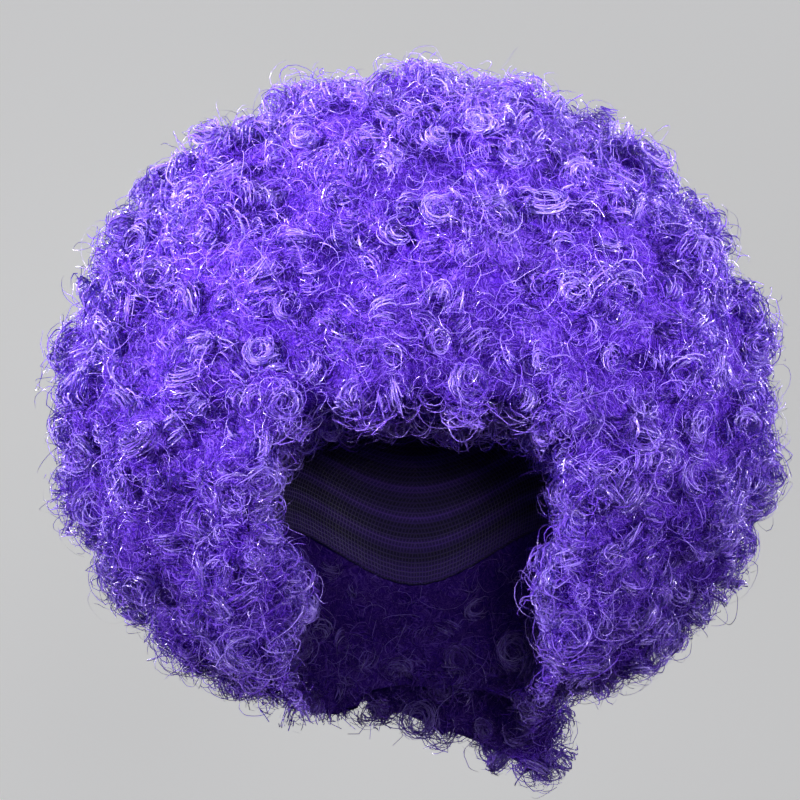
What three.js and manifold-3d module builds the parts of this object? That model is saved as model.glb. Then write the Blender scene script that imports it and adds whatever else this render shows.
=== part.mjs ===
// A full round wig of curled fibre, as worn: a thin stretch cap that sits on the head, and six
// sections of curls that are sewn to it. Millimetres, +Z up, and the face looks along -Y.
// The origin is the inside top of the cap, where it sits on the crown of the head.
import * as THREE from "three";
import { mergeVertices } from "three/addons/utils/BufferGeometryUtils.js";
import Module from "manifold-3d";

// The head that the cap fits, below the origin
const HEAD = { halfWidth: 77, front: 95, back: 98, up: 95, down: 95, middleZ: -95 };

// The cap: its wall, its hem, and the height of its edge by the angle from the front
const CAP_WALL = 1.5;
const HEM = { share: 0.06, extra: 1.2 };
const CAP_EDGE = [
  { angle: 0, height: -50, at: "hairline" },
  { angle: 32, height: -58, at: "corner of the hairline" },
  { angle: 58, height: -98, at: "tab before the ear" },
  { angle: 82, height: -86, at: "over the ear" },
  { angle: 118, height: -116, at: "behind the ear" },
  { angle: 180, height: -146, at: "nape" },
];

// The outline of the hair over its curls, and how far the curls stand out of the mass under them
const HAIR = { halfWidth: 180, front: 162, back: 186, up: 175, down: 160, middleZ: -64 };
const CURL_RISE = 11;
const HAIR_TO_CAP = 1;

// The opening for the face, seen from the front, and how it flares towards the front
const FACE = { halfWidth: 64, topZ: -75, corner: 30, cheekZ: -162, neckHalfWidth: 52, neckZ: -205 };
const FOOT_Z = -330;
const FACE_FLARE = { centreZ: -155, steps: [
  { depth: -190, scale: 1.5 },
  { depth: -150, scale: 1.24 },
  { depth: -112, scale: 1.08 },
  { depth: -70, scale: 1 },
  { depth: 30, scale: 0.94 },
] };
const NECK = { halfWidth: 55, front: 70, back: 58, topZ: -115 };

// Curls spread over the mass, and a row of them round the face
const CURLS = { count: 91, radius: 32, radiusSpread: 4 };
const FACE_CURLS = { count: 10, radius: 18, radiusSpread: 3, rise: 5, inward: 0.7 };

// Locks that hang behind the neck, from the wearer's right to the left, longer to the left
const NAPE_ROW = { count: 6, fromAngle: 226, toAngle: 134, ring: 86, topZ: -165 };
const NAPE_LENGTH = { shortest: 42, longest: 84 };
const NAPE_LOCK = { radius: 21, turn: 24, taper: 0.28, waist: 0.86 };

// The sections, parted by a cone under the crown, by upright planes and by a level one at the nape
const CROWN_PARTING = { apexZ: -120, slope: 1.27 };
const PARTINGS = { front: 40, back: 118, napeZ: -142 };
const PARTING_GAP = 0.5;

// Facets round a form and from its top to its foot
const HEAD_FACETS = { around: 28, down: 12 };
const MASS_FACETS = { around: 18, down: 10 };
const LOCK_SIDES = 6;
const CONE_SIDES = 24;
const FAR = 500;

const FULL_TURN = Math.PI * 2;
const GOLDEN_ANGLE = Math.PI * (3 - Math.sqrt(5));
const LATHE_AXIS = new THREE.Vector3(0, 1, 0);
const SKY = new THREE.Vector3(0, 0, 1);
const radians = THREE.MathUtils.degToRad;

const wasm = await Module();
wasm.setup();

// Solids from three.js geometry, and back

function solid(geometry) {
  const bare = geometry.clone();
  for (const name of Object.keys(bare.attributes)) {
    if (name !== "position") bare.deleteAttribute(name);
  }
  const merged = mergeVertices(bare, 1e-4);
  return new wasm.Manifold(new wasm.Mesh({
    numProp: 3,
    vertProperties: merged.attributes.position.array,
    triVerts: new Uint32Array(merged.index.array),
  }));
}

function geometryOf(body) {
  const { vertProperties, triVerts } = body.getMesh();
  const geometry = new THREE.BufferGeometry();
  geometry.setAttribute("position", new THREE.BufferAttribute(vertProperties, 3));
  geometry.setIndex(new THREE.BufferAttribute(triVerts, 1));
  geometry.computeVertexNormals();
  return geometry;
}

// The largest body of a cut solid, without the loose chips along a parting
function mainBody(cut) {
  return cut.decompose().reduce((best, body) => (body.volume() > best.volume() ? body : best));
}

// A closed skin over rings of points, from a first pole to a last one. Rings run from the front by
// way of +X, and follow each other downwards or backwards.
function skin(rings, firstPole, lastPole) {
  const around = rings[0].length;
  const points = rings.flat();
  const faces = [];
  const first = points.push(firstPole) - 1;
  const last = points.push(lastPole) - 1;
  for (let j = 0; j < around; j++) {
    const next = (j + 1) % around;
    faces.push(first, j, next);
    for (let i = 0; i + 1 < rings.length; i++) {
      const [a, b] = [i * around + j, i * around + next];
      faces.push(a, a + around, b, b, a + around, b + around);
    }
    const foot = (rings.length - 1) * around;
    faces.push(foot + j, last, foot + next);
  }
  const geometry = new THREE.BufferGeometry().setFromPoints(points);
  geometry.setIndex(faces);
  return geometry;
}

// Round forms with unlike halves: front and back, up and down

// The point of a form grown by so many millimetres, at an angle from the front and one from the top
function formPoint(form, grow, angle, fromTop) {
  const reach = Math.cos(angle) > 0 ? form.front : form.back;
  const rise = Math.cos(fromTop) > 0 ? form.up : form.down;
  return new THREE.Vector3(
    (form.halfWidth + grow) * Math.sin(fromTop) * Math.sin(angle),
    -(reach + grow) * Math.sin(fromTop) * Math.cos(angle),
    form.middleZ + (rise + grow) * Math.cos(fromTop),
  );
}

function formNormal(form, point) {
  const reach = point.y < 0 ? form.front : form.back;
  const rise = point.z > form.middleZ ? form.up : form.down;
  return new THREE.Vector3(
    point.x / form.halfWidth ** 2,
    point.y / reach ** 2,
    (point.z - form.middleZ) / rise ** 2,
  ).normalize();
}

function formSolid(form, grow, { around, down }) {
  const rings = [];
  for (let i = 1; i < down; i++) {
    rings.push(ringOf(around, (angle) => formPoint(form, grow, angle, (Math.PI * i) / down)));
  }
  return solid(skin(rings, formPoint(form, grow, 0, 0), formPoint(form, grow, 0, Math.PI)));
}

function ringOf(around, pointAt) {
  return Array.from({ length: around }, (_, j) => pointAt((FULL_TURN * j) / around));
}

// The cap: a bowl of even wall, with a thicker hem along its edge

function capEdgeHeight(angle) {
  const degrees = Math.abs(THREE.MathUtils.radToDeg(Math.atan2(Math.sin(angle), Math.cos(angle))));
  const next = Math.max(1, CAP_EDGE.findIndex((row) => row.angle >= degrees - 1e-9));
  const [from, to] = [CAP_EDGE[next - 1], CAP_EDGE[next]];
  const share = (degrees - from.angle) / (to.angle - from.angle);
  return THREE.MathUtils.lerp(from.height, to.height, (1 - Math.cos(Math.PI * share)) / 2);
}

// The ring at a share of the way from the crown to the edge
function capRing(share, grow) {
  return ringOf(HEAD_FACETS.around, (angle) => {
    const edge = Math.acos((capEdgeHeight(angle) - HEAD.middleZ) / HEAD.up);
    return formPoint(HEAD, grow, angle, edge * share);
  });
}

function capGeometry() {
  const hemStart = 1 - HEM.share;
  const shares = [0.15, 0.32, 0.5, 0.68, 0.84, hemStart];
  const outside = shares.map((share) => capRing(share, CAP_WALL));
  const hem = [hemStart + HEM.share / 6, 1].map((share) => capRing(share, CAP_WALL + HEM.extra));
  const inside = [1, ...shares.toReversed()].map((share) => capRing(share, 0));
  const [outerCrown, innerCrown] = [CAP_WALL, 0].map((grow) => formPoint(HEAD, grow, 0, 0));
  return skin([...outside, ...hem, ...inside], outerCrown, innerCrown);
}

// The opening for the face: an arch drawn from the front, lofted through its flare

function faceArch() {
  const { halfWidth, topZ, corner, cheekZ, neckHalfWidth, neckZ } = FACE;
  const arch = new THREE.Shape();
  arch.moveTo(neckHalfWidth, FOOT_Z);
  arch.lineTo(neckHalfWidth, neckZ);
  arch.lineTo(halfWidth, cheekZ);
  arch.lineTo(halfWidth, topZ - corner);
  arch.absarc(halfWidth - corner, topZ - corner, corner, 0, Math.PI / 2);
  arch.absarc(corner - halfWidth, topZ - corner, corner, Math.PI / 2, Math.PI);
  arch.lineTo(-halfWidth, cheekZ);
  arch.lineTo(-neckHalfWidth, neckZ);
  arch.lineTo(-neckHalfWidth, FOOT_Z);
  return arch.getPoints(4);
}

function flareScale(depth) {
  const { steps } = FACE_FLARE;
  const next = Math.max(1, steps.findIndex((step) => step.depth >= depth));
  const [from, to] = [steps[next - 1], steps[next]];
  return THREE.MathUtils.mapLinear(depth, from.depth, to.depth, from.scale, to.scale);
}

function flaredPoint(point, depth) {
  const { centreZ } = FACE_FLARE;
  const scale = flareScale(depth);
  return new THREE.Vector3(point.x * scale, depth, centreZ + (point.y - centreZ) * scale);
}

function faceOpening() {
  const arch = faceArch();
  const { steps, centreZ } = FACE_FLARE;
  const rings = steps.map(({ depth }) => arch.map((point) => flaredPoint(point, depth)));
  const [front, back] = [steps[0], steps.at(-1)].map(({ depth }) => new THREE.Vector3(0, depth, centreZ));
  return solid(skin(rings, front, back));
}

function neckColumn() {
  const { halfWidth, front, back } = NECK;
  const round = new THREE.Shape();
  round.absellipse(0, (back - front) / 2, halfWidth, (back + front) / 2, 0, FULL_TURN);
  const column = new THREE.ExtrudeGeometry(round, {
    depth: NECK.topZ - FOOT_Z,
    bevelEnabled: false,
    curveSegments: 10,
  });
  return solid(column.translate(0, 0, FOOT_Z));
}

// True where a point lies in the opening for the face, or within a margin of it
function inFaceOpening(point, margin) {
  if (point.y > 0) return false;
  const scale = flareScale(point.y);
  const { centreZ } = FACE_FLARE;
  return Math.abs(point.x) < FACE.halfWidth * scale + margin
    && point.z < centreZ + (FACE.topZ - centreZ) * scale + margin;
}

// Curls

// Numbers from 0 to 1 that are the same each time
function seededNumbers(seed) {
  let state = seed;
  return () => {
    state = (state * 1664525 + 1013904223) % 4294967296;
    return state / 4294967296;
  };
}

// A rolled curl seen end on: a knob that is sunk into the mass, and stands out of it by its rise
function curl(radius, rise, point, normal, spin) {
  const centre = point.clone().addScaledVector(normal, rise - radius);
  return placed(new THREE.IcosahedronGeometry(radius, 1), centre, normal, spin);
}

// A hanging lock: turns of a ringlet stacked on each other, each smaller than the last
function hangingLock({ radius, turn, taper, waist }, length) {
  const turns = Math.max(2, Math.round(length / turn));
  const profile = [new THREE.Vector2(0, -length)];
  for (let i = turns; i > 0; i--) {
    const size = radius * (1 - taper * (i / turns) ** 2);
    profile.push(new THREE.Vector2(size, (-length * (i - 0.5)) / turns));
    profile.push(new THREE.Vector2(size * waist, (-length * (i - 1)) / turns));
  }
  profile.push(new THREE.Vector2(0, radius / 2));
  return new THREE.LatheGeometry(profile, LOCK_SIDES);
}

function placed(geometry, point, axis, spin) {
  const turn = new THREE.Quaternion().setFromUnitVectors(LATHE_AXIS, axis);
  turn.multiply(new THREE.Quaternion().setFromAxisAngle(LATHE_AXIS, spin));
  return solid(geometry.applyMatrix4(new THREE.Matrix4().compose(point, turn, new THREE.Vector3(1, 1, 1))));
}

// Curls in a golden spiral over the whole mass, clear of the opening for the face and of the neck
function spreadCurls() {
  const random = seededNumbers(7);
  const curls = [];
  for (let i = 0; i < CURLS.count; i++) {
    const fromTop = Math.acos(1 - (2 * (i + 0.5)) / CURLS.count);
    const point = formPoint(HAIR, -CURL_RISE, i * GOLDEN_ANGLE, fromTop);
    const radius = CURLS.radius + CURLS.radiusSpread * (2 * random() - 1);
    const spin = FULL_TURN * random();
    if (point.z < FACE.neckZ || inFaceOpening(point, radius / 2)) continue;
    curls.push(curl(radius, CURL_RISE, point, formNormal(HAIR, point), spin));
  }
  return curls;
}

// Where the flared arch comes out of the front of the mass, found in a few steps from its front
function openingEdge(archPoint) {
  let edge = flaredPoint(archPoint, -HAIR.front);
  for (let i = 0; i < 6; i++) {
    const rise = edge.z > HAIR.middleZ ? HAIR.up : HAIR.down;
    const across = edge.x / (HAIR.halfWidth - CURL_RISE);
    const along = (edge.z - HAIR.middleZ) / (rise - CURL_RISE);
    const depth = -(HAIR.front - CURL_RISE) * Math.sqrt(Math.max(0, 1 - across ** 2 - along ** 2));
    edge = flaredPoint(archPoint, depth);
  }
  return edge;
}

// Smaller curls along the edge of the opening, over the forehead and beside the cheeks
function faceCurls() {
  const { count, radius, radiusSpread, rise, inward } = FACE_CURLS;
  const random = seededNumbers(11);
  const aboveJaw = faceArch().filter((point) => point.y > FACE.neckZ);
  const edge = new THREE.CatmullRomCurve3(aboveJaw.map(openingEdge));
  return edge.getSpacedPoints(count - 1).map((point) => {
    const outward = new THREE.Vector3(point.x, 0, point.z - FACE_FLARE.centreZ).normalize();
    const normal = new THREE.Vector3(0, -1, 0).addScaledVector(outward, -inward).normalize();
    const size = radius + radiusSpread * (2 * random() - 1);
    return curl(size, rise, point, normal, FULL_TURN * random());
  });
}

function napeLocks() {
  const { count, fromAngle, toAngle, ring, topZ } = NAPE_ROW;
  const { shortest, longest } = NAPE_LENGTH;
  return Array.from({ length: count }, (_, i) => {
    const share = i / (count - 1);
    const angle = radians(THREE.MathUtils.lerp(fromAngle, toAngle, share));
    const length = THREE.MathUtils.lerp(shortest, longest, share);
    const top = new THREE.Vector3(ring * Math.sin(angle), -ring * Math.cos(angle), topZ);
    return placed(hangingLock(NAPE_LOCK, length), top, SKY, 0);
  });
}

// The hair: the mass with its curls fused to it, hollow for the head, the face and the neck

function hairSolid() {
  const mass = formSolid(HAIR, -CURL_RISE, MASS_FACETS).subtract(faceOpening());
  const locks = [...spreadCurls(), ...faceCurls(), ...napeLocks()];
  const fused = locks.reduce((joined, lock) => joined.add(lock), mass);
  const headRoom = formSolid(HEAD, CAP_WALL + HEM.extra + HAIR_TO_CAP, HEAD_FACETS);
  return fused.subtract(headRoom).subtract(neckColumn());
}

// Everything above a cone that opens upwards from inside the head, let down by a gap
function aboveCrownParting(gap) {
  const { apexZ, slope } = CROWN_PARTING;
  const cone = new THREE.LatheGeometry([
    new THREE.Vector2(0, apexZ - gap),
    new THREE.Vector2(FAR, apexZ - gap + FAR * slope),
    new THREE.Vector2(0, apexZ - gap + FAR * slope),
  ], CONE_SIDES);
  return solid(cone.rotateX(Math.PI / 2));
}

// An upright wedge between two angles from the front, in degrees, drawn in by half the gap
function wedge(fromAngle, toAngle) {
  const half = radians(toAngle - fromAngle) / 2;
  const middle = radians(fromAngle + toAngle) / 2;
  const inset = PARTING_GAP / 2 / Math.sin(half);
  const at = (angle, reach) => new THREE.Vector2(Math.sin(angle) * reach, -Math.cos(angle) * reach);
  const point = at(middle, inset);
  const rim = [-1, -0.5, 0, 0.5, 1].map((share) => at(middle + half * share, FAR).add(point));
  const sector = new THREE.Shape([point, ...rim]);
  const upright = new THREE.ExtrudeGeometry(sector, { depth: 2 * FAR, bevelEnabled: false });
  return solid(upright.translate(0, 0, -FAR));
}

function belowNapeParting(gap) {
  const slab = new THREE.BoxGeometry(2 * FAR, 2 * FAR, FAR);
  return solid(slab.translate(0, 0, PARTINGS.napeZ - FAR / 2 + gap));
}

function hairSections() {
  const hair = hairSolid();
  const lower = hair.subtract(aboveCrownParting(PARTING_GAP));
  const { front, back } = PARTINGS;
  const behind = lower.intersect(wedge(back, 360 - back));
  return {
    crown_hair: hair.intersect(aboveCrownParting(0)),
    front_hair: lower.intersect(wedge(-front, front)),
    left_hair: lower.intersect(wedge(front, back)),
    right_hair: lower.intersect(wedge(360 - back, 360 - front)),
    back_hair: behind.subtract(belowNapeParting(PARTING_GAP)),
    nape_hair: behind.intersect(belowNapeParting(0)),
  };
}

// The wig

const fibre = new THREE.MeshStandardMaterial({ color: 0x5c38cc, roughness: 0.45, metalness: 0 });
const net = new THREE.MeshStandardMaterial({ color: 0x1c1433, roughness: 0.9, metalness: 0 });

function namedMesh(name, geometry, material) {
  const mesh = new THREE.Mesh(geometry, material);
  mesh.name = name;
  return mesh;
}

const wig = new THREE.Group();
wig.add(namedMesh("cap", geometryOf(solid(capGeometry())), net));
for (const [name, section] of Object.entries(hairSections())) {
  wig.add(namedMesh(name, geometryOf(mainBody(section)), fibre));
}

export default wig;
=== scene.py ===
"""Dresses the solids of a full round curly wig: curled fibre, the soft mass under it and the net cap.

Lengths are in metres.
"""
import math

import bpy
import numpy as np
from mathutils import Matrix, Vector
from mathutils.bvhtree import BVHTree


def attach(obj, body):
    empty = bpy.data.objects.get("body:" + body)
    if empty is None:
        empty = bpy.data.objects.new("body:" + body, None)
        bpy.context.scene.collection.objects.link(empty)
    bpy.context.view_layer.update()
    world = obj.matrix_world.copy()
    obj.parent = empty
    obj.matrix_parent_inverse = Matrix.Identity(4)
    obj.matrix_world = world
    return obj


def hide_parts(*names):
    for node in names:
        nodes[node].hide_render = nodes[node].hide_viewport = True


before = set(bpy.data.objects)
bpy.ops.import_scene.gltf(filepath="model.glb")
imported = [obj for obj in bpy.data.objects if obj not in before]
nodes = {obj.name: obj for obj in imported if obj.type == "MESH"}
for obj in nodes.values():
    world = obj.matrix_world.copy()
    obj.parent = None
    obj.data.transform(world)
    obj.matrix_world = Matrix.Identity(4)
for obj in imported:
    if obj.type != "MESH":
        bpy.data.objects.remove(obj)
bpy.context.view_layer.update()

MM = 0.001
SHORTEST = 1e-12
SEED = 41
SECTIONS = ("crown", "front", "left", "right", "back", "nape")

# A face of a solid is free if a ray that starts just off it meets nothing within the reach.
FREE_REACH = 4 * MM
RAY_START = 0.05 * MM

# The hollow that the head fills, as an ellipsoid. "reach" is how far out its wall is taken to lie, as a
# squared share of the radius.
HEAD_ROOM = {
    "half_width": 81 * MM, "front": 99 * MM, "back": 102 * MM,
    "half_height": 99 * MM, "middle_z": -95 * MM, "reach": 1.06,
}
FACE_EDGE = {"half_width": 86 * MM, "back_y": -45 * MM, "top_z": -62 * MM, "facing": 0.3}

# Curls are sown at random, so many tries for each square of the spacing, and kept a share of it apart.
# On the wall of the head's room only the inner share of them is kept.
TRIES_PER_SQUARE = 3.2
CLOSEST_SHARE = 0.72
INNER_SHARE = 0.6

# A curl winds its strands about an axis that leans away from the surface. Lengths are in millimetres,
# leans in degrees. "stand" is how far the outermost turn stands proud of the solid, "fill" the share
# of the radius that the strands spread over, "tip" the radius left at the free end, "hairs" how many
# fibres lie side by side in one strand, and "tone" how much paler the strands are than the rest.
ROSETTE = {
    "spacing": 26, "strands": 22, "steps": 14, "turns": (0.8, 1.5), "radius": (5.5, 11), "tip": (0.5, 1.0),
    "rise": (3, 11), "lean": (0, 55), "stand": (-2, 5), "fill": 0.46, "scatter": 1.4, "wobble": 1.1,
    "width": (0.38, 0.7), "hairs": 2, "tone": 0.09,
}
RINGLET = {
    "spacing": 18.5, "strands": 9, "steps": 16, "turns": (1.2, 2.1), "radius": (3.6, 7), "tip": (0.6, 1.1),
    "rise": (9, 22), "lean": (50, 105), "stand": (-3, 5), "fill": 0.34, "scatter": 1.2, "wobble": 1.0,
    "width": (0.4, 0.75), "hairs": 2, "tone": 0.07,
}
FRIZZ = {
    "spacing": 4.15, "strands": 1, "steps": 10, "turns": (0.5, 1.2), "radius": (3.5, 10), "tip": (0.5, 1.3),
    "rise": (2, 12), "lean": (0, 90), "stand": (-4, 5), "fill": 0, "scatter": 0, "wobble": 1.6,
    "width": (0.28, 0.45), "hairs": 1, "tone": -0.07,
}
FLYAWAY = {
    "spacing": 13.5, "strands": 1, "steps": 15, "turns": (0.5, 1.1), "radius": (6, 14), "tip": (0.4, 1.2),
    "rise": (4, 16), "lean": (20, 90), "stand": (4, 13), "fill": 0, "scatter": 0, "wobble": 1.8,
    "width": (0.25, 0.35), "hairs": 1, "tone": 0.0,
}
FRINGE = {
    "spacing": 13, "strands": 4, "steps": 15, "turns": (0.8, 1.5), "radius": (5, 10), "tip": (0.6, 1.1),
    "rise": (4, 14), "lean": (35, 100), "stand": (1, 8), "fill": 0.4, "scatter": 1.2, "wobble": 1.6,
    "width": (0.35, 0.6), "hairs": 2, "tone": 0.0,
}

# What every curl shares. An axis steeper than UPRIGHT takes its side directions from x, not from z, and
# the rise runs from below the curl's centre to above it.
UPRIGHT = 0.9
RISE_BELOW = 0.65
ROOT = {"radius": 0.45, "share": 0.18}
TIP = {"width": 0.4, "share": 0.12}
STRAND_RISE = (0.8, 1.2)
STRAND_TURNS = (0.85, 1.1)
STRAND_SPIN = 0.55
STRAND_ROLL = 0.8
STRAND_TWIST = 1.2
WOBBLE_WAVES = (1.3, 2.9)
# Painted shade: a strand is darker the deeper it lies below the solid's face, over this depth. Of the tone,
# the depth share is this painted shade and the curl and strand shares are random.
PAINTED_SHADE_DEPTH = 13 * MM
TONE_AND_SHADE_SHARE = {"depth": 0.48, "curl": 0.12, "strand": 0.4}

# Each strand has an upright strip in the map, this many times as long as wide, with a margin round it.
STRIP_RATIO = 18
STRIP_ACROSS = (0.15, 0.85)
STRIP_START = 0.03
STRIP_LENGTH = 0.94

MASS_VOXEL = 6.5 * MM
MASS_DEPTH = 7 * MM
INNER_MASS_DEPTH = 3.5 * MM
MASS_SMOOTHING = {"factor": 0.5, "iterations": 4}
PARTING_REACH = 3 * MM
PARTING_OVERLAP = 6 * MM
BURIED = 1.5 * MM

# The cap has the solid's form. Its edge runs through these heights, in millimetres, at these angles from
# the front. The crown is closed by one small face, and the hem and the weft are eased in.
CAP = {"half_width": 77 * MM, "front": 95 * MM, "back": 98 * MM, "up": 95 * MM, "middle_z": -95 * MM}
CAP_EDGE_ANGLE = (0, 32, 58, 82, 118, 180)
CAP_EDGE_Z = (-50, -58, -98, -86, -116, -146)
CAP_WALL = 1.5 * MM
CAP_AROUND = 168
CAP_ROWS = {"inside": 66, "outside": 14}
CROWN_SHARE = 0.01
WEFT = {"count": 12, "from_share": 0.12, "to_share": 0.9, "half_width": 0.02, "height": 1.2 * MM}
HEM = {"share": 0.06, "ease": 0.02, "extra": 1.2 * MM, "gathers": 56, "depth": 0.35 * MM}
NET = {"cell": 2.2 * MM, "round_bend": 1.6, "down_bend": 1.8}

# Colours from dark to pale. Besides the fibre's own random tone they carry painted shade, deep in the curls
# and at the edges of each hair.
FIBRE_TONE_AND_SHADE_COLOURS = (
    (0.05, (0.042, 0.005, 0.37)),
    (0.42, (0.100, 0.022, 0.54)),
    (0.78, (0.210, 0.100, 0.72)),
    (1.00, (0.380, 0.270, 0.93)),
)
# The packed fibre is the same fibre as the curls, in darker colours that are painted shade of its depth.
MASS_SHADED_COLOURS = (
    (0.10, (0.024, 0.003, 0.21)),
    (0.55, (0.062, 0.013, 0.36)),
    (1.00, (0.165, 0.075, 0.58)),
)
NET_COLOURS = (
    (0.05, (0.012, 0.005, 0.050)),
    (0.40, (0.045, 0.016, 0.190)),
    (0.85, (0.150, 0.052, 0.600)),
)
FOLD = 0.5

STAGE = {
    "floor_z": -0.95, "radius": 2.6, "sweep": 0.8, "top": 2.0,
    "sides": 96, "floor_shares": (0, 0.4, 0.7), "sweep_steps": 12,
}
CAMERA = {"x": -7.7 * MM, "z": -54 * MM, "distance": 1.65, "frame": 0.384, "sensor": 36}
FRONT_AIM = (0, -0.05, 0.03)
TOP_AIM = (0, 0, 0.06)
LIGHTS = (
    {"name": "key", "at": (-2.3, -1.3, 0.5), "aim": FRONT_AIM, "size": 0.3, "spread": 10, "watts": 1.6},
    {"name": "fill", "at": (2.1, -1.2, 0.5), "aim": FRONT_AIM, "size": 0.3, "spread": 10, "watts": 0.95},
    {"name": "front", "at": (0.3, -2.5, 0.3), "aim": TOP_AIM, "size": 0.5, "spread": 18, "watts": 0.25},
    {"name": "back_left", "at": (1.5, 1.7, 0.7), "aim": TOP_AIM, "size": 0.5, "spread": 20, "watts": 1.3},
    {"name": "back_right", "at": (-1.5, 1.7, 0.7), "aim": TOP_AIM, "size": 0.5, "spread": 20, "watts": 1.5},
)
SKY = ((0.0, 0.01), (0.49, 0.02), (0.55, 0.7), (0.62, 1.0), (0.8, 0.2), (1.0, 0.05))
SKY_TINT = (0.96, 0.97, 1)
SKY_STRENGTH = 0.75


# Faces and meshes

def unit(vectors):
    return vectors / np.maximum(np.linalg.norm(vectors, axis=-1, keepdims=True), SHORTEST)


def triangles_of(obj):
    """The corners of an object's triangles, as an array of triangle, corner and axis."""
    mesh = obj.data
    mesh.calc_loop_triangles()
    places = np.empty(len(mesh.vertices) * 3)
    mesh.vertices.foreach_get("co", places)
    corners = np.empty(len(mesh.loop_triangles) * 3, dtype=int)
    mesh.loop_triangles.foreach_get("vertices", corners)
    return places.reshape(-1, 3)[corners.reshape(-1, 3)]


def face_crosses(triangles):
    """A vector square to each triangle, as long as twice its area."""
    return np.cross(triangles[:, 1] - triangles[:, 0], triangles[:, 2] - triangles[:, 0])


def face_normals(triangles):
    return unit(face_crosses(triangles))


def tree_of(triangles):
    corners = np.arange(len(triangles) * 3).reshape(-1, 3)
    return BVHTree.FromPolygons(triangles.reshape(-1, 3).tolist(), corners.tolist())


def smooth_faces(mesh):
    mesh.polygons.foreach_set("use_smooth", np.ones(len(mesh.polygons), dtype=bool))


def mesh_from(name, places, quads):
    mesh = bpy.data.meshes.new(name)
    mesh.vertices.add(len(places))
    mesh.vertices.foreach_set("co", places.astype(np.float32).ravel())
    mesh.loops.add(quads.size)
    mesh.loops.foreach_set("vertex_index", quads.astype(np.int32).ravel())
    mesh.polygons.add(len(quads))
    mesh.polygons.foreach_set("loop_start", np.arange(0, quads.size, 4, dtype=np.int32))
    smooth_faces(mesh)
    mesh.update(calc_edges=True)
    return mesh


def set_values(mesh, label, values):
    """Gives each point of a mesh a number, which its material reads by the label."""
    attribute = mesh.attributes.new(label, "FLOAT", "POINT")
    attribute.data.foreach_set("value", values.astype(np.float32).ravel())


def shown(name, mesh, material):
    obj = bpy.data.objects.new(name, mesh)
    bpy.context.scene.collection.objects.link(obj)
    mesh.materials.append(material)
    return obj


def as_piece(obj, node):
    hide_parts(node)
    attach(obj, "root")


# Where the hair is free, and where it stands round the head and the face

def are_free(triangles, everything):
    """True for the faces that don't lie against another section or against the cap."""
    normals = face_normals(triangles)
    middles = triangles.mean(axis=1) + normals * RAY_START
    return np.array([
        everything.ray_cast(Vector(m), Vector(n), FREE_REACH)[0] is None for m, n in zip(middles, normals)
    ])


def in_head_room(points):
    """True for points on the wall of the hollow that the head fills."""
    depth = np.where(points[:, 1] < 0, HEAD_ROOM["front"], HEAD_ROOM["back"])
    reach = (points[:, 0] / HEAD_ROOM["half_width"]) ** 2 + (points[:, 1] / depth) ** 2
    reach = reach + ((points[:, 2] - HEAD_ROOM["middle_z"]) / HEAD_ROOM["half_height"]) ** 2
    return reach < HEAD_ROOM["reach"]


def round_the_face(points, normals):
    """True for points on the walls of the face opening."""
    near = (np.abs(points[:, 0]) < FACE_EDGE["half_width"]) & (points[:, 1] < FACE_EDGE["back_y"])
    inward = np.maximum(-normals[:, 0] * np.sign(points[:, 0]), -normals[:, 2])
    return near & (points[:, 2] < FACE_EDGE["top_z"]) & (inward > FACE_EDGE["facing"])


def part_faces(nodes):
    """The free faces of each section, and its faces against the others and the cap."""
    everything = tree_of(np.concatenate([triangles_of(obj) for obj in nodes.values()]))
    open_faces, parting_faces = {}, {}
    for name in SECTIONS:
        faces = triangles_of(nodes[f"{name}_hair"])
        free = are_free(faces, everything)
        open_faces[name], parting_faces[name] = faces[free], faces[~free]
    return open_faces, parting_faces


# Curls

def spread_points(triangles, spacing, rng):
    """Points on the faces, not much closer than the spacing, with the face's normal at each."""
    area = np.linalg.norm(face_crosses(triangles), axis=1) / 2
    tries = int(TRIES_PER_SQUARE * area.sum() / spacing**2)
    chosen = rng.choice(len(triangles), tries, p=area / area.sum())
    a, b = rng.random((2, tries, 1))
    fold = a + b > 1
    a, b = np.where(fold, 1 - a, a), np.where(fold, 1 - b, b)
    corner = triangles[chosen]
    points = corner[:, 0] + a * (corner[:, 1] - corner[:, 0]) + b * (corner[:, 2] - corner[:, 0])
    cells = {}
    kept = []
    for index, point in enumerate(points):
        key = tuple(np.floor(point / spacing).astype(int))
        near = [
            other
            for dx in (-1, 0, 1) for dy in (-1, 0, 1) for dz in (-1, 0, 1)
            for other in cells.get((key[0] + dx, key[1] + dy, key[2] + dz), ())
        ]
        if all(np.sum((points[other] - point) ** 2) > (CLOSEST_SHARE * spacing) ** 2 for other in near):
            cells.setdefault(key, []).append(index)
            kept.append(index)
    return points[kept], face_normals(triangles)[chosen[kept]]


def across(axis, spin):
    """Two unit directions square to each axis, turned about it by spin."""
    helper = np.where(np.abs(axis[:, 2:]) < UPRIGHT, [[0.0, 0.0, 1.0]], [[1.0, 0.0, 0.0]])
    first = unit(np.cross(axis, helper))
    second = np.cross(axis, first)
    c, s = np.cos(spin)[:, None], np.sin(spin)[:, None]
    return first * c + second * s, second * c - first * s


def wobbled(path, along, size, rng):
    """The paths with a slow and a quicker wave laid over them, each in a direction of its own."""
    for waves in WOBBLE_WAVES:
        sway = unit(rng.normal(0, 1, (len(path), 1, 3)))
        phase = rng.uniform(0, math.tau, (len(path), 1))
        path = path + sway * (size / waves * np.sin(math.tau * waves * along + phase))[..., None]
    return path


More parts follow.
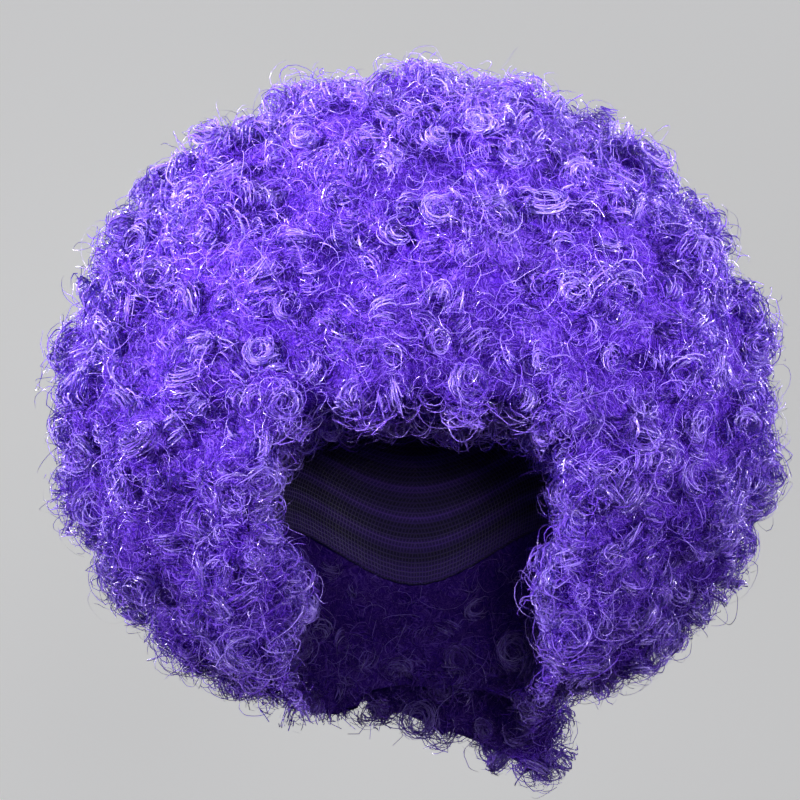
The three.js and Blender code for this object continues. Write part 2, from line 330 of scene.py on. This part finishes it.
def curl_strands(kind, points, normals, rng):
    """Ribbon centrelines, their width directions, widths and tones for one curl at each point. The tones
    hold painted shade: a step is darker the deeper it lies below the solid.
    """
    count, strands = len(points), kind["strands"]

    def each(name):
        low, high = kind[name]
        return rng.uniform(low, high, count)

    lean = np.radians(each("lean"))[:, None]
    sideways, _ = across(normals, rng.uniform(0, math.tau, count))
    axis = unit(normals * np.cos(lean) + sideways * np.sin(lean))
    radius, rise = each("radius") * MM, each("rise") * MM
    reach = radius * np.abs(np.sin(lean[:, 0])) + (1 - RISE_BELOW) * rise * np.abs(np.cos(lean[:, 0]))
    centre = points + normals * (each("stand") * MM - reach)[:, None]
    turns, tip = each("turns"), each("tip")
    hand = rng.choice([-1.0, 1.0], count)
    spin, roll = rng.uniform(0, math.tau, (2, count))
    curl_tone = rng.random(count)

    def per_strand(values):
        return np.repeat(values, strands, axis=0)

    total = count * strands
    axis, points, normals = per_strand(axis), per_strand(points), per_strand(normals)
    centre = per_strand(centre) + rng.normal(0, 1, (total, 3)) * kind["scatter"] * MM
    radius = per_strand(radius) * (1 - kind["fill"] * rng.random(total))
    rise = per_strand(rise) * rng.uniform(*STRAND_RISE, total)
    turns = per_strand(turns) * rng.uniform(*STRAND_TURNS, total)
    tip, hand = per_strand(tip), per_strand(hand)
    spin = per_strand(spin) + rng.normal(0, STRAND_SPIN, total)
    roll = per_strand(roll) + rng.normal(0, STRAND_ROLL, total)
    twist = rng.uniform(-STRAND_TWIST, STRAND_TWIST, total)

    along = np.linspace(0, 1, kind["steps"] + 1)
    angle = hand[:, None] * math.tau * turns[:, None] * along
    start = ROOT["radius"] + (1 - ROOT["radius"]) * np.clip(along / ROOT["share"], 0, 1)
    swing = radius[:, None] * (1 - (1 - tip[:, None]) * along) * start
    climb = rise[:, None] * (along - RISE_BELOW)
    first, second = across(axis, spin)
    outward = first[:, None] * np.cos(angle)[..., None] + second[:, None] * np.sin(angle)[..., None]
    path = centre[:, None] + axis[:, None] * climb[..., None] + outward * swing[..., None]
    path = wobbled(path, along, kind["wobble"] * MM, rng)

    tangent = unit(np.gradient(path, axis=1))
    turn = (roll[:, None] + twist[:, None] * along)[..., None]
    side = axis[:, None] * np.cos(turn) + outward * np.sin(turn)
    side = unit(side - tangent * np.sum(side * tangent, axis=-1, keepdims=True))
    taper = TIP["width"] + (1 - TIP["width"]) * np.clip((1 - along) / TIP["share"], 0, 1)
    width = rng.uniform(*kind["width"], total)[:, None] * MM * taper
    # Painted shade: the deeper a step lies below the solid's face, the darker its tone.
    height = np.sum((path - points[:, None]) * normals[:, None], axis=-1)
    own_tone = TONE_AND_SHADE_SHARE["curl"] * per_strand(curl_tone)[:, None]
    own_tone = own_tone + TONE_AND_SHADE_SHARE["strand"] * rng.random((total, 1))
    tone = TONE_AND_SHADE_SHARE["depth"] * np.clip(1 + height / PAINTED_SHADE_DEPTH, 0, 1) + own_tone + kind["tone"]
    return path, side, width, tone, kind["hairs"]


def are_buried(points, core):
    """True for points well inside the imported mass, where no fibre shows."""
    buried = []
    for point in points.tolist():
        place, normal, _, _ = core.find_nearest(point)
        buried.append((Vector(point) - place).dot(normal) < -BURIED)
    return np.array(buried, dtype=bool)


def strip_corners(strips, steps, rows, columns):
    """The four corners in the map of each step of each strand, on the strand's own strip."""
    left, right = STRIP_ACROSS
    strip = strips[:, None, None]
    step = (np.arange(steps)[:, None] + np.array([0, 0, 1, 1])) / steps
    u = (strip % columns + np.array([left, right, right, left])) / columns
    v = (strip // columns + STRIP_START + STRIP_LENGTH * step) / rows
    return np.stack(np.broadcast_arrays(u, v), axis=-1).reshape(-1, 4, 2)


def ribbon_object(name, strands, core, material):
    """One mesh of flat ribbons, four corners a step, without the steps that are buried in the mass."""
    places, corners, maps, tones, sideways = [], [], [], [], []
    first, first_strip = 0, 0
    total = sum(len(path) for path, *_ in strands)
    rows = max(1, round(math.sqrt(total / STRIP_RATIO)))
    columns = math.ceil(total / rows)
    for path, side, width, tone, hairs in strands:
        count, stops = path.shape[:2]
        half = side * width[..., None] / 2
        places.append(np.stack([path - half, path + half], axis=2).reshape(-1, 3))
        tones.append(np.repeat(tone.reshape(-1), 2))
        sideways.append(np.tile([0.0, hairs], count * stops))
        base = first + (np.arange(count)[:, None] * stops + np.arange(stops - 1)) * 2
        buried = are_buried(path.reshape(-1, 3), core).reshape(count, stops)
        shows = ~(buried[:, :-1] & buried[:, 1:]).reshape(-1)
        corners.append(np.stack([base, base + 1, base + 3, base + 2], axis=-1).reshape(-1, 4)[shows])
        maps.append(strip_corners(first_strip + np.arange(count), stops - 1, rows, columns)[shows])
        first += count * stops * 2
        first_strip += count
    used, corners = np.unique(np.concatenate(corners), return_inverse=True)
    mesh = mesh_from(name, np.concatenate(places)[used], corners.reshape(-1, 4))
    bake_map = mesh.uv_layers.new(name="OFBake")
    bake_map.uv.foreach_set("vector", np.concatenate(maps).astype(np.float32).ravel())
    set_values(mesh, "tone", np.concatenate(tones)[used])
    set_values(mesh, "sideways", np.concatenate(sideways)[used])
    return shown(name, mesh, material)


def add_curls(open_faces, core, material):
    for index, name in enumerate(SECTIONS):
        rng = np.random.default_rng(SEED + index)
        strands = []
        for kind in (ROSETTE, RINGLET, FRIZZ, FLYAWAY, FRINGE):
            points, normals = spread_points(open_faces[name], kind["spacing"] * MM, rng)
            kept = ~in_head_room(points) | (rng.random(len(points)) < INNER_SHARE)
            if kind is FRINGE:
                kept = round_the_face(points, normals)
            strands.append(curl_strands(kind, points[kept], normals[kept], rng))
        as_piece(ribbon_object(f"{name}_curls", strands, core, material), f"{name}_hair")


# Packed mass

def apply_modifiers(obj):
    obj.data = bpy.data.meshes.new_from_object(obj.evaluated_get(bpy.context.evaluated_depsgraph_get()))
    obj.modifiers.clear()


def soft_mass(name, node, partings, walls, material):
    """The packed fibre under the curls: the solid, drawn in from its free faces and let into the others."""
    mesh = node.data.copy()
    mesh.materials.clear()
    obj = shown(name, mesh, material)
    remesh = obj.modifiers.new("even", "REMESH")
    remesh.mode = "VOXEL"
    remesh.voxel_size = MASS_VOXEL
    apply_modifiers(obj)
    for vertex in obj.data.vertices:
        place, normal, _, away = partings.find_nearest(vertex.co)
        if away < PARTING_REACH:
            vertex.co = place + normal * PARTING_OVERLAP
        for wall, depth in walls:
            place, normal, _, away = wall.find_nearest(vertex.co)
            if away < depth:
                vertex.co = place - normal * depth
    smooth = obj.modifiers.new("soft", "SMOOTH")
    smooth.factor = MASS_SMOOTHING["factor"]
    smooth.iterations = MASS_SMOOTHING["iterations"]
    apply_modifiers(obj)
    smooth_faces(obj.data)
    return obj


def add_masses(nodes, open_faces, parting_faces, material):
    """A soft mass for each section. Returns a tree of them all."""
    faces = np.concatenate(list(open_faces.values()))
    inner = in_head_room(faces.mean(axis=1))
    walls = ((tree_of(faces[inner]), INNER_MASS_DEPTH), (tree_of(faces[~inner]), MASS_DEPTH))
    masses = []
    for name in SECTIONS:
        faces = parting_faces[name]
        partings = tree_of(faces[~in_head_room(faces.mean(axis=1))])
        masses.append(soft_mass(f"{name}_mass", nodes[f"{name}_hair"], partings, walls, material))
        as_piece(masses[-1], f"{name}_hair")
    return tree_of(np.concatenate([triangles_of(obj) for obj in masses]))


# Cap

def eased(share):
    share = np.clip(share, 0, 1)
    return share * share * (3 - 2 * share)


def cap_edge_z(angle):
    """The height of the cap's edge at an angle from the front, eased from each given height to the next."""
    degrees = np.abs(np.degrees(np.arctan2(np.sin(angle), np.cos(angle))))
    next_row = np.clip(np.searchsorted(CAP_EDGE_ANGLE, degrees), 1, len(CAP_EDGE_ANGLE) - 1)
    start, end = np.take(CAP_EDGE_ANGLE, next_row - 1), np.take(CAP_EDGE_ANGLE, next_row)
    share = (1 - np.cos(np.pi * (degrees - start) / (end - start))) / 2
    return MM * (np.take(CAP_EDGE_Z, next_row - 1) * (1 - share) + np.take(CAP_EDGE_Z, next_row) * share)


def cap_points(angle, share, grow):
    """Points on the cap's form, from the crown at share 0 to its edge at share 1."""
    reach = np.where(np.cos(angle) > 0, CAP["front"], CAP["back"]) + grow
    from_top = share * np.arccos((cap_edge_z(angle) - CAP["middle_z"]) / CAP["up"])
    x = (CAP["half_width"] + grow) * np.sin(from_top) * np.sin(angle)
    y = -reach * np.sin(from_top) * np.cos(angle)
    return np.stack([x, y, CAP["middle_z"] + (CAP["up"] + grow) * np.cos(from_top)], axis=-1)


def cap_object(material):
    """The cap: net on the head's side with the rows of weft sewn across it, and a gathered hem."""
    angle = np.arange(CAP_AROUND)[None, :] * math.tau / CAP_AROUND
    inside = np.linspace(CROWN_SHARE, 1, CAP_ROWS["inside"])[:, None]
    outside = np.linspace(1, CROWN_SHARE, CAP_ROWS["outside"])[:, None]
    seams = np.linspace(WEFT["from_share"], WEFT["to_share"], WEFT["count"])
    weft = eased(1 - np.abs(inside - seams).min(axis=1, keepdims=True) / WEFT["half_width"])
    gather = HEM["depth"] * np.sin(HEM["gathers"] * angle)
    hem_in, hem_out = (eased((rows - 1 + HEM["share"]) / HEM["ease"]) for rows in (inside, outside))
    inner = cap_points(angle, inside, gather * hem_in - WEFT["height"] * weft)
    outer = cap_points(angle, outside, CAP_WALL + (HEM["extra"] + gather) * hem_out)
    rings = np.concatenate([inner, outer])
    near = np.arange(CAP_AROUND)
    far = np.roll(near, -1)
    band = np.stack([near, near + CAP_AROUND, far + CAP_AROUND, far], axis=1)
    faces = [quad for ring in range(len(rings) - 1) for quad in (band + ring * CAP_AROUND).tolist()]
    faces.append(near.tolist())
    faces.append((near[::-1] + (len(rings) - 1) * CAP_AROUND).tolist())
    mesh = bpy.data.meshes.new("net_cap")
    mesh.from_pydata(rings.reshape(-1, 3).tolist(), [], faces)
    smooth_faces(mesh)
    shares = np.concatenate([inside, outside]) * np.ones_like(angle)
    from_front = np.where(angle > math.pi, math.tau - angle, angle)
    set_values(mesh, "weft", np.concatenate([weft, np.zeros_like(outside)]) * np.ones_like(angle))
    set_values(mesh, "hem", np.concatenate([hem_in, hem_out]) * np.ones_like(angle))
    set_values(mesh, "round", CAP["back"] * np.sin(NET["round_bend"] * shares) * from_front / NET["cell"])
    set_values(mesh, "down", CAP["up"] * NET["down_bend"] * shares / NET["cell"])
    mesh.update()
    return shown("net_cap", mesh, material)


# Materials

def set_stops(ramp, stops):
    middle = 0.5
    while len(ramp.elements) < len(stops):
        ramp.elements.new(middle)
    for element, (at, colour) in zip(ramp.elements, stops):
        element.position = at
        element.color = (*colour, 1)


class Nodes:
    """A material's node tree, with short calls for adding and linking."""

    def __init__(self, name):
        self.material = bpy.data.materials.new(name)
        self.material.use_nodes = True
        self.tree = self.material.node_tree
        self.shader = self.tree.nodes["Principled BSDF"]

    def add(self, kind, **settings):
        node = self.tree.nodes.new(kind)
        for key, value in settings.items():
            setattr(node, key, value)
        return node

    def link(self, source, target):
        self.tree.links.new(source, target)

    def set(self, **values):
        for key, value in values.items():
            self.shader.inputs[key.replace("_", " ")].default_value = value

    def place(self):
        return self.add("ShaderNodeTexCoord").outputs["Object"]

    def noise(self, scale, detail):
        node = self.add("ShaderNodeTexNoise")
        node.inputs["Scale"].default_value = scale
        node.inputs["Detail"].default_value = detail
        self.link(self.place(), node.inputs["Vector"])
        return node.outputs["Fac"]

    def ramp(self, source, stops):
        node = self.add("ShaderNodeValToRGB")
        set_stops(node.color_ramp, stops)
        self.link(source, node.inputs["Fac"])
        return node.outputs["Color"]

    def attribute(self, name):
        return self.add("ShaderNodeAttribute", attribute_name=name).outputs["Fac"]

    def spread(self, source, low, high, from_low=0.0, from_high=1.0):
        node = self.add("ShaderNodeMapRange")
        node.inputs["From Min"].default_value = from_low
        node.inputs["From Max"].default_value = from_high
        node.inputs["To Min"].default_value = low
        node.inputs["To Max"].default_value = high
        self.link(source, node.inputs["Value"])
        return node.outputs["Result"]

    def fold(self, source):
        """Rises from 0 to FOLD and falls back to 0 in each whole step of the source."""
        node = self.add("ShaderNodeMath", operation="PINGPONG")
        self.link(source, node.inputs[0])
        node.inputs[1].default_value = FOLD
        return node.outputs[0]

    def larger(self, first, second):
        node = self.add("ShaderNodeMath", operation="MAXIMUM")
        self.link(first, node.inputs[0])
        self.link(second, node.inputs[1])
        return node.outputs[0]

    def sum(self, first, second, share):
        """The first value and a share of the second."""
        node = self.add("ShaderNodeMath", operation="MULTIPLY_ADD")
        self.link(second, node.inputs[0])
        node.inputs[1].default_value = share
        self.link(first, node.inputs[2])
        return node.outputs[0]

    def bump(self, source, distance, strength):
        node = self.add("ShaderNodeBump")
        node.inputs["Distance"].default_value = distance
        node.inputs["Strength"].default_value = strength
        self.link(source, node.inputs["Height"])
        self.link(node.outputs["Normal"], self.shader.inputs["Normal"])


def fibre_material():
    """Satin fibre with painted shade: darker deep in the curls and paler on their outside, and paler along
    the middle of each hair and darker at its edges.
    """
    n = Nodes("curled_fibre")
    hair = n.fold(n.attribute("sideways"))
    tone = n.sum(n.attribute("tone"), n.spread(n.noise(scale=90, detail=2), low=-1, high=1), share=0.12)
    # Painted shading across each hair: paler along its middle and darker at its edges.
    tone = n.sum(tone, n.spread(hair, low=-1, high=1.4, from_high=FOLD), share=0.16)
    n.link(n.ramp(tone, FIBRE_TONE_AND_SHADE_COLOURS), n.shader.inputs["Base Color"])
    n.link(n.spread(n.noise(scale=400, detail=2), low=0.18, high=0.36), n.shader.inputs["Roughness"])
    n.set(Specular_IOR_Level=0.8, Specular_Tint=(0.88, 0.8, 1, 1))
    n.bump(hair, distance=0.5 * MM, strength=0.7)
    return n.material


def bent_space(n, scale, reach):
    """Object space bent by noise, so that straight strokes come out curved."""
    place = n.place()
    bend = n.add("ShaderNodeTexNoise")
    bend.inputs["Scale"].default_value = scale
    n.link(place, bend.inputs["Vector"])
    bent = n.add("ShaderNodeVectorMath", operation="MULTIPLY_ADD")
    bent.inputs[1].default_value = (reach, reach, reach)
    n.link(bend.outputs["Color"], bent.inputs[0])
    n.link(place, bent.inputs[2])
    return bent.outputs[0]


def brushed(n, place, cells_per_metre, length, width):
    """Short parallel strokes, turned another way in each small cell of space."""
    cells = n.add("ShaderNodeTexVoronoi")
    cells.inputs["Scale"].default_value = cells_per_metre
    n.link(place, cells.inputs["Vector"])
    angles = n.add("ShaderNodeVectorMath", operation="SCALE")
    angles.inputs["Scale"].default_value = math.tau
    n.link(cells.outputs["Color"], angles.inputs[0])
    turned = n.add("ShaderNodeVectorRotate", rotation_type="EULER_XYZ")
    n.link(place, turned.inputs["Vector"])
    n.link(angles.outputs[0], turned.inputs["Rotation"])
    drawn_out = n.add("ShaderNodeVectorMath", operation="MULTIPLY")
    drawn_out.inputs[1].default_value = (1 / length, 1 / width, 1 / width)
    n.link(turned.outputs[0], drawn_out.inputs[0])
    strokes = n.add("ShaderNodeTexNoise")
    strokes.inputs["Scale"].default_value = 1
    strokes.inputs["Detail"].default_value = 1
    n.link(drawn_out.outputs[0], strokes.inputs["Vector"])
    return n.spread(strokes.outputs["Fac"], low=0, high=1, from_low=0.38, from_high=0.68)


def mass_material():
    """Fibre too deep to make out one by one: two layers of bent strokes, in colours darker than the curls'
    as painted shade of the depth.
    """
    n = Nodes("packed_fibre")
    place = bent_space(n, scale=80, reach=18 * MM)
    hair = n.larger(
        brushed(n, place, cells_per_metre=75, length=14 * MM, width=0.9 * MM),
        brushed(n, place, cells_per_metre=110, length=9 * MM, width=0.7 * MM),
    )
    shade = n.sum(hair, n.noise(scale=45, detail=3), share=0.9)
    shade = n.spread(shade, low=0, high=1, from_low=0.3, from_high=1.6)
    n.link(n.ramp(shade, MASS_SHADED_COLOURS), n.shader.inputs["Base Color"])
    n.link(n.spread(hair, low=0.85, high=0.65), n.shader.inputs["Roughness"])
    n.set(Specular_IOR_Level=0.12, Specular_Tint=(0.6, 0.5, 1, 1))
    n.bump(hair, distance=1.2 * MM, strength=0.8)
    return n.material


def net_material():
    """Dark net with paler threads, seams and hem."""
    n = Nodes("cap_net")
    net = n.larger(n.fold(n.attribute("round")), n.fold(n.attribute("down")))
    thread = n.spread(net, low=0, high=1, from_low=0.3, from_high=0.46)
    cloth = n.sum(thread, n.noise(scale=320, detail=3), share=0.5)
    sewn = n.sum(n.attribute("weft"), n.attribute("hem"), share=0.6)
    shade = n.sum(n.spread(cloth, low=0, high=0.45, from_high=1.5), sewn, share=0.45)
    n.link(n.ramp(shade, NET_COLOURS), n.shader.inputs["Base Color"])
    n.set(Roughness=0.85, Sheen_Weight=0.2)
    n.bump(cloth, distance=0.8 * MM, strength=0.8)
    return n.material


def paper_material():
    """Pale paper with a faint light of its own, in place of the lamps behind a studio's backdrop."""
    n = Nodes("paper")
    n.set(Base_Color=(0.88, 0.88, 0.89, 1), Roughness=0.9)
    n.set(Emission_Color=(1, 1, 1, 1), Emission_Strength=0.4)
    n.material.cycles.emission_sampling = "NONE"
    return n.material


# Stage, lights and camera

def stage_dish():
    """A pale floor that sweeps up all round, so that every side has the same plain ground."""
    radius, sweep, sides = STAGE["radius"], STAGE["sweep"], STAGE["sides"]
    profile = [(radius * share, 0) for share in STAGE["floor_shares"]]
    for step in range(STAGE["sweep_steps"] + 1):
        turn = math.pi / 2 * step / STAGE["sweep_steps"]
        profile.append((radius + sweep * math.sin(turn), sweep * (1 - math.cos(turn))))
    profile.append((radius + sweep, STAGE["top"]))
    around = np.arange(sides) * math.tau / sides
    rings = [
        np.stack([r * np.cos(around), r * np.sin(around), np.full(sides, STAGE["floor_z"] + z)], axis=1)
        for r, z in profile
    ]
    near = np.arange(sides)
    far = np.roll(near, -1)
    band = np.stack([near, far, far + sides, near + sides], axis=1)
    quads = [band + ring * sides for ring in range(len(rings) - 1)]
    mesh = mesh_from("floor", np.concatenate(rings), np.concatenate(quads))
    floor = shown("floor", mesh, paper_material())
    floor.visible_diffuse = False
    floor.visible_glossy = False
    return floor


def aimed(obj, place, target):
    obj.location = place
    obj.rotation_euler = (Vector(target) - Vector(place)).to_track_quat("-Z", "Y").to_euler()


def add_light(name, at, aim, size, spread, watts):
    lamp = bpy.data.lights.new(name, "AREA")
    lamp.energy = watts
    lamp.size = size
    lamp.spread = math.radians(spread)
    obj = bpy.data.objects.new(name, lamp)
    obj.visible_camera = False
    bpy.context.scene.collection.objects.link(obj)
    aimed(obj, at, aim)


def add_camera():
    data = bpy.data.cameras.new("camera")
    data.sensor_width = CAMERA["sensor"]
    data.lens = CAMERA["sensor"] * CAMERA["distance"] / CAMERA["frame"]
    obj = bpy.data.objects.new("camera", data)
    bpy.context.scene.collection.objects.link(obj)
    aimed(obj, (CAMERA["x"], -CAMERA["distance"], CAMERA["z"]), (CAMERA["x"], 0, CAMERA["z"]))
    bpy.context.scene.camera = obj


def add_world():
    """Soft light from all round, strongest a little above eye level and faint from below."""
    world = bpy.data.worlds.new("studio")
    world.use_nodes = True
    tree = world.node_tree
    split = tree.nodes.new("ShaderNodeSeparateXYZ")
    height = tree.nodes.new("ShaderNodeMapRange")
    height.inputs["From Min"].default_value = -1
    ramp = tree.nodes.new("ShaderNodeValToRGB")
    set_stops(ramp.color_ramp, [(at, [share * level for share in SKY_TINT]) for at, level in SKY])
    sky = tree.nodes["Background"]
    sky.inputs["Strength"].default_value = SKY_STRENGTH
    tree.links.new(tree.nodes.new("ShaderNodeTexCoord").outputs["Generated"], split.inputs[0])
    tree.links.new(split.outputs["Z"], height.inputs["Value"])
    tree.links.new(height.outputs["Result"], ramp.inputs["Fac"])
    tree.links.new(ramp.outputs["Color"], sky.inputs["Color"])
    bpy.context.scene.world = world


# The scene

add_camera()
add_world()
for light in LIGHTS:
    add_light(**light)
stage_dish()
bpy.context.scene.view_settings.view_transform = "Standard"

open_faces, parting_faces = part_faces(nodes)
fibre, mass = fibre_material(), mass_material()
core = add_masses(nodes, open_faces, parting_faces, mass)
add_curls(open_faces, core, fibre)
as_piece(cap_object(net_material()), "cap")
